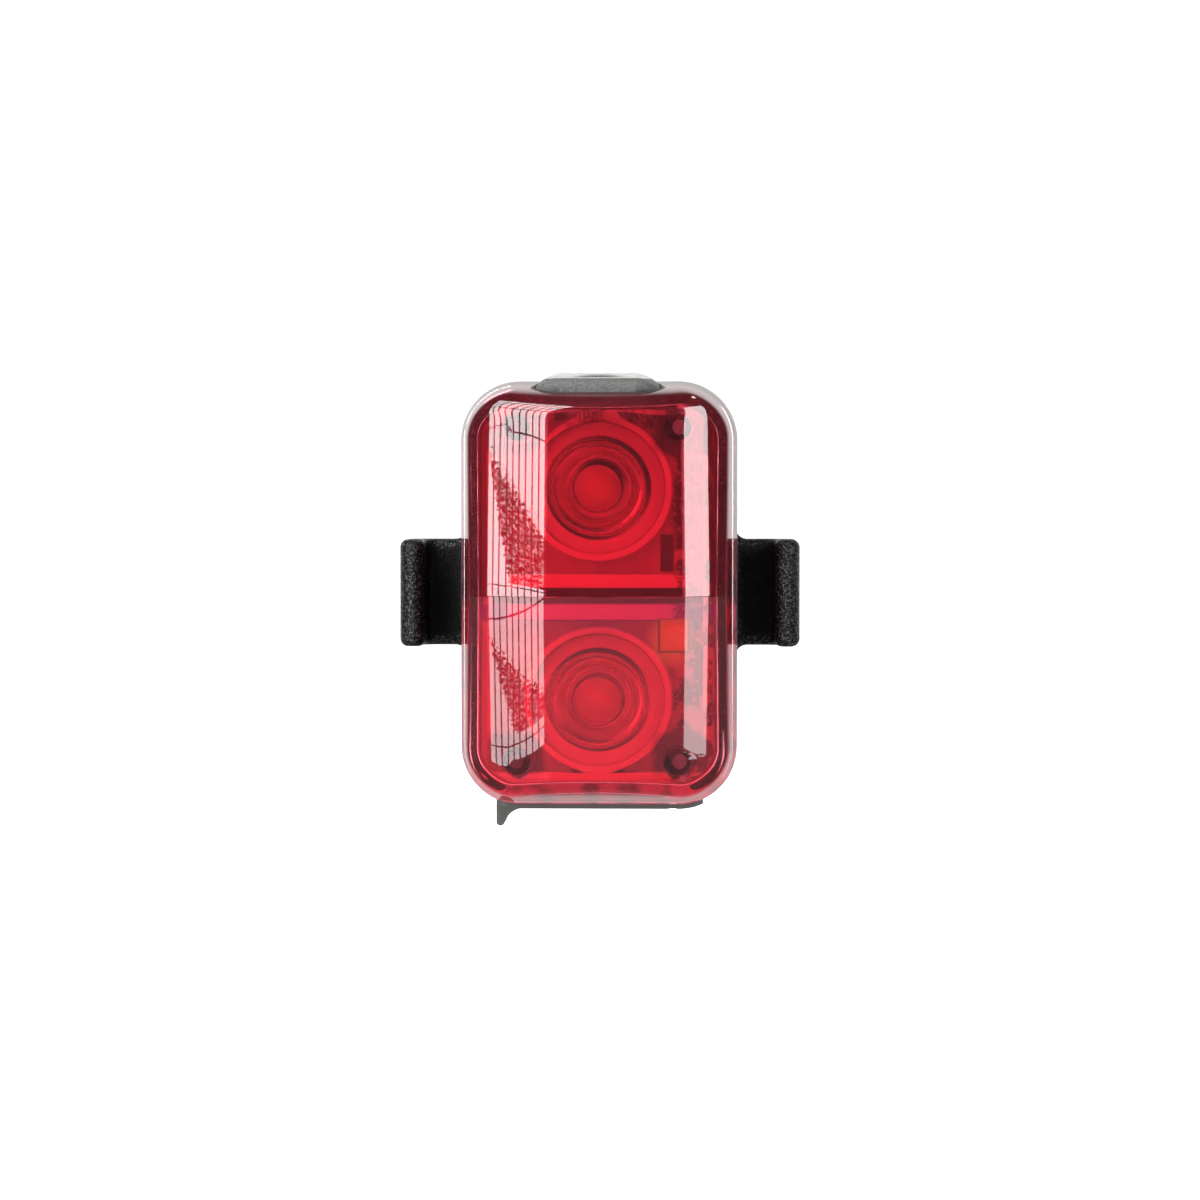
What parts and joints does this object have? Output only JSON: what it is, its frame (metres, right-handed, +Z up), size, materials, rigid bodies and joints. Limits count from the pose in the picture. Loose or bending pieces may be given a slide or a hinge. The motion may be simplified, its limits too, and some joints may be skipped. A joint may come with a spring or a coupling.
{
  "type": "bicycle tail light",
  "caption": "Compact rechargeable bicycle tail light with a bowed red lens, strap hooks, push button and hinged port flap.",
  "frame": {"origin": "on the rubber pad's saddle line at mid height, where the pad touches the seat post", "axes": "+Y out of the back towards the post, +Z up along the post, +X to the right seen from the lens side"},
  "size_m": [0.0436, 0.0249, 0.0496],
  "materials": {
    "red_lens": "polished transparent red",
    "black_textured": "finely spark-eroded black",
    "black_rubber": "matte",
    "grey_rubber": "satin",
    "screw_steel": "black oxide",
    "white_board": "white solder mask",
    "emitter_ceramic": "white ceramic",
    "amber_epoxy": "translucent amber",
    "clear_optic": "polished clear",
    "satin_white": "satin",
    "steel_shell": "tin plated",
    "black_plastic": "matte",
    "cell_foil": "laminated foil",
    "black_foam": "open cell",
    "red_wire": "insulation",
    "black_wire": "insulation",
    "chip_black": "moulding compound"
  },
  "bodies": {
    "light": {"lens_cover": "red_lens", "rear_housing": "black_textured", "lens_seal": "black_rubber", "back_pad": "black_rubber", "case_screws": "screw_steel", "circuit_board": "white_board", "emitter_upper": "emitter_ceramic", "emitter_lower": "emitter_ceramic", "status_led": "amber_epoxy", "collimator_upper": "clear_optic", "collimator_lower": "clear_optic", "inner_bezel": "satin_white", "button_seal": "black_rubber", "switch_body": "steel_shell", "usb_receptacle": "steel_shell", "usb_tongue": "black_plastic", "flap_anchor": "grey_rubber", "battery_cell": "cell_foil", "battery_foam": "black_foam", "battery_socket": "satin_white", "battery_lead_red": "red_wire", "battery_lead_black": "black_wire", "board_components": "chip_black"},
    "button": {"power_button": "grey_rubber"},
    "plunger": {"switch_plunger": "black_plastic"},
    "flap": {"port_flap": "grey_rubber"}
  },
  "joints": [
    {"name": "button_press", "type": "slide", "parent": "light", "child": "button", "axis": [0, 0, -1], "range_m": [0, 0.00035], "stiffness_N_per_m": 2000},
    {"name": "switch_press", "type": "slide", "parent": "light", "child": "plunger", "axis": [0, 0, -1], "range_m": [0, 0.00035]},
    {"name": "flap_hinge", "type": "hinge", "parent": "light", "child": "flap", "pos_m": [0.0074, -0.00837, -0.02285], "axis": [0, -1, 0], "range_deg": [0, 90], "stiffness_Nm_per_rad": 0.002}
  ],
  "couplings": [
    {"joint": "switch_press", "follows": "button_press", "ratio": 1}
  ]
}
